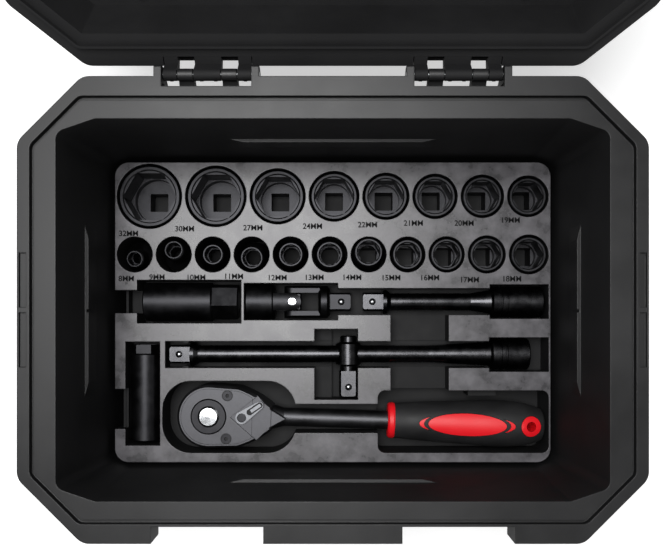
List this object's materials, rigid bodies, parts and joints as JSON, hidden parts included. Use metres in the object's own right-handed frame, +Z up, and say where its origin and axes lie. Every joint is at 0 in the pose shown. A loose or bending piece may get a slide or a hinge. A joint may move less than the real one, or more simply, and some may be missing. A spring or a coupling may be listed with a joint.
{
  "type": "socket wrench set in case",
  "caption": "Black moulded tool box with a hinged lid and a lift-out tray of sockets, extension bars, a universal joint and a ratchet with a red and black grip.",
  "frame": {"origin": "centre of the case's flat underside", "axes": "+X to the right along the front, +Y to the hinged back, +Z up"},
  "size_m": [0.354, 0.4727, 0.3446],
  "materials": {
    "case_plastic": "moulded satin",
    "tray_plastic": "moulded satin",
    "pin_steel": "drawn",
    "black_steel": "black phosphate",
    "bright_steel": "polished",
    "insert_rubber": "soft",
    "red_plastic": "glossy",
    "grip_rubber": "satin"
  },
  "bodies": {
    "case": {"case_base": "case_plastic", "hinge_pins": "pin_steel"},
    "lid": {"case_lid": "case_plastic", "latch_pins": "pin_steel", "handle_pins": "pin_steel"},
    "left_latch": {"left_latch": "case_plastic"},
    "right_latch": {"right_latch": "case_plastic"},
    "carry_handle": {"carry_handle": "case_plastic"},
    "tray": {"tool_tray": "tray_plastic"},
    "socket_08mm": {"socket_08mm": "black_steel"},
    "socket_09mm": {"socket_09mm": "black_steel"},
    "socket_10mm": {"socket_10mm": "black_steel"},
    "socket_11mm": {"socket_11mm": "black_steel"},
    "socket_12mm": {"socket_12mm": "black_steel"},
    "socket_13mm": {"socket_13mm": "black_steel"},
    "socket_14mm": {"socket_14mm": "black_steel"},
    "socket_15mm": {"socket_15mm": "black_steel"},
    "socket_16mm": {"socket_16mm": "black_steel"},
    "socket_17mm": {"socket_17mm": "black_steel"},
    "socket_18mm": {"socket_18mm": "black_steel"},
    "socket_19mm": {"socket_19mm": "black_steel"},
    "socket_20mm": {"socket_20mm": "black_steel"},
    "socket_21mm": {"socket_21mm": "black_steel"},
    "socket_22mm": {"socket_22mm": "black_steel"},
    "socket_24mm": {"socket_24mm": "black_steel"},
    "socket_27mm": {"socket_27mm": "black_steel"},
    "socket_30mm": {"socket_30mm": "black_steel"},
    "socket_32mm": {"socket_32mm": "black_steel"},
    "plug_socket_wide": {"plug_socket_wide": "black_steel", "plug_grip_wide": "insert_rubber"},
    "plug_socket_narrow": {"plug_socket_narrow": "black_steel", "plug_grip_narrow": "insert_rubber"},
    "universal_joint": {"joint_socket_yoke": "black_steel", "joint_long_pin": "bright_steel"},
    "joint_cross": {"joint_cross": "black_steel"},
    "joint_drive": {"joint_drive_yoke": "black_steel", "joint_short_pins": "black_steel", "joint_ball": "bright_steel"},
    "short_extension": {"short_extension": "black_steel", "short_extension_ball": "bright_steel"},
    "long_extension": {"long_extension": "black_steel", "long_extension_ball": "bright_steel"},
    "t_head": {"t_head": "black_steel", "t_head_ball": "bright_steel"},
    "ratchet": {"ratchet_body": "black_steel", "ratchet_cover": "black_steel", "cover_screws": "black_steel", "detent_ball": "bright_steel", "pawl_spring": "pin_steel", "grip_core": "red_plastic", "grip_sleeve": "grip_rubber"},
    "ratchet_drive": {"drive_gear": "black_steel", "drive_ball": "bright_steel", "button_spring": "pin_steel"},
    "release_button": {"release_button": "bright_steel"},
    "reverse_lever": {"reverse_lever": "bright_steel"},
    "pawl": {"pawl": "black_steel"}
  },
  "joints": [
    {"name": "lid_hinge", "type": "hinge", "parent": "case", "child": "lid", "pos_m": [0, 0.1334, 0.1543], "axis": [-1, 0, 0], "range_deg": [-137, 0]},
    {"name": "left_latch_swing", "type": "hinge", "parent": "lid", "child": "left_latch", "pos_m": [-0.0705, 0.33575, 0.31825], "axis": [-1, 0, 0], "range_deg": [0, 95]},
    {"name": "right_latch_swing", "type": "hinge", "parent": "lid", "child": "right_latch", "pos_m": [0.0705, 0.33575, 0.31825], "axis": [-1, 0, 0], "range_deg": [0, 95]},
    {"name": "handle_swing", "type": "hinge", "parent": "lid", "child": "carry_handle", "pos_m": [0, 0.26624, 0.23018], "axis": [1, 0, 0], "range_deg": [-47, 53]},
    {"name": "tray_lift", "type": "slide", "parent": "case", "child": "tray", "axis": [0, 0, 1], "range_m": [0, 0.155]},
    {"name": "socket_08mm_lift", "type": "slide", "parent": "tray", "child": "socket_08mm", "axis": [0, 0, 1], "range_m": [0, 0.155]},
    {"name": "socket_09mm_lift", "type": "slide", "parent": "tray", "child": "socket_09mm", "axis": [0, 0, 1], "range_m": [0, 0.155]},
    {"name": "socket_10mm_lift", "type": "slide", "parent": "tray", "child": "socket_10mm", "axis": [0, 0, 1], "range_m": [0, 0.155]},
    {"name": "socket_11mm_lift", "type": "slide", "parent": "tray", "child": "socket_11mm", "axis": [0, 0, 1], "range_m": [0, 0.155]},
    {"name": "socket_12mm_lift", "type": "slide", "parent": "tray", "child": "socket_12mm", "axis": [0, 0, 1], "range_m": [0, 0.155]},
    {"name": "socket_13mm_lift", "type": "slide", "parent": "tray", "child": "socket_13mm", "axis": [0, 0, 1], "range_m": [0, 0.155]},
    {"name": "socket_14mm_lift", "type": "slide", "parent": "tray", "child": "socket_14mm", "axis": [0, 0, 1], "range_m": [0, 0.155]},
    {"name": "socket_15mm_lift", "type": "slide", "parent": "tray", "child": "socket_15mm", "axis": [0, 0, 1], "range_m": [0, 0.155]},
    {"name": "socket_16mm_lift", "type": "slide", "parent": "tray", "child": "socket_16mm", "axis": [0, 0, 1], "range_m": [0, 0.155]},
    {"name": "socket_17mm_lift", "type": "slide", "parent": "tray", "child": "socket_17mm", "axis": [0, 0, 1], "range_m": [0, 0.155]},
    {"name": "socket_18mm_lift", "type": "slide", "parent": "tray", "child": "socket_18mm", "axis": [0, 0, 1], "range_m": [0, 0.155]},
    {"name": "socket_19mm_lift", "type": "slide", "parent": "tray", "child": "socket_19mm", "axis": [0, 0, 1], "range_m": [0, 0.155]},
    {"name": "socket_20mm_lift", "type": "slide", "parent": "tray", "child": "socket_20mm", "axis": [0, 0, 1], "range_m": [0, 0.155]},
    {"name": "socket_21mm_lift", "type": "slide", "parent": "tray", "child": "socket_21mm", "axis": [0, 0, 1], "range_m": [0, 0.155]},
    {"name": "socket_22mm_lift", "type": "slide", "parent": "tray", "child": "socket_22mm", "axis": [0, 0, 1], "range_m": [0, 0.155]},
    {"name": "socket_24mm_lift", "type": "slide", "parent": "tray", "child": "socket_24mm", "axis": [0, 0, 1], "range_m": [0, 0.155]},
    {"name": "socket_27mm_lift", "type": "slide", "parent": "tray", "child": "socket_27mm", "axis": [0, 0, 1], "range_m": [0, 0.155]},
    {"name": "socket_30mm_lift", "type": "slide", "parent": "tray", "child": "socket_30mm", "axis": [0, 0, 1], "range_m": [0, 0.155]},
    {"name": "socket_32mm_lift", "type": "slide", "parent": "tray", "child": "socket_32mm", "axis": [0, 0, 1], "range_m": [0, 0.155]},
    {"name": "plug_socket_wide_lift", "type": "slide", "parent": "tray", "child": "plug_socket_wide", "axis": [0, 0, 1], "range_m": [0, 0.155]},
    {"name": "plug_socket_narrow_lift", "type": "slide", "parent": "tray", "child": "plug_socket_narrow", "axis": [0, 0, 1], "range_m": [0, 0.155]},
    {"name": "universal_joint_lift", "type": "slide", "parent": "tray", "child": "universal_joint", "axis": [0, 0, 1], "range_m": [0, 0.155]},
    {"name": "short_extension_lift", "type": "slide", "parent": "tray", "child": "short_extension", "axis": [0, 0, 1], "range_m": [0, 0.155]},
    {"name": "long_extension_lift", "type": "slide", "parent": "tray", "child": "long_extension", "axis": [0, 0, 1], "range_m": [0, 0.155]},
    {"name": "ratchet_lift", "type": "slide", "parent": "tray", "child": "ratchet", "axis": [0, 0, 1], "range_m": [0, 0.155]},
    {"name": "joint_side_swing", "type": "hinge", "parent": "universal_joint", "child": "joint_cross", "pos_m": [-0.0281, 0.0068, 0.04575], "axis": [0, 0, 1], "range_deg": [-3, 3]},
    {"name": "joint_lift_swing", "type": "hinge", "parent": "joint_cross", "child": "joint_drive", "pos_m": [-0.0281, 0.0068, 0.04575], "axis": [0, -1, 0], "range_deg": [0, 30]},
    {"name": "t_head_slide", "type": "slide", "parent": "long_extension", "child": "t_head", "axis": [1, 0, 0], "range_m": [-0.014, 0]},
    {"name": "drive_spin", "type": "hinge", "parent": "ratchet", "child": "ratchet_drive", "pos_m": [-0.0859, -0.0727, 0.0441], "axis": [0, 0, 1], "continuous": true},
    {"name": "button_press", "type": "slide", "parent": "ratchet_drive", "child": "release_button", "axis": [0, 0, 1], "range_m": [-0.0024, 0], "stiffness_N_per_m": 600, "deforming": ["button_spring"]},
    {"name": "lever_swing", "type": "hinge", "parent": "ratchet", "child": "reverse_lever", "pos_m": [-0.06291, -0.07341, 0.0441], "axis": [0, 0, 1], "range_deg": [-73.2, 0]},
    {"name": "pawl_rock", "type": "hinge", "parent": "ratchet", "child": "pawl", "pos_m": [-0.06291, -0.07341, 0.0441], "axis": [0, 0, 1], "range_deg": [-16, 0]}
  ],
  "couplings": [
    {"joint": "pawl_rock", "follows": "lever_swing", "ratio": 0.21857}
  ]
}
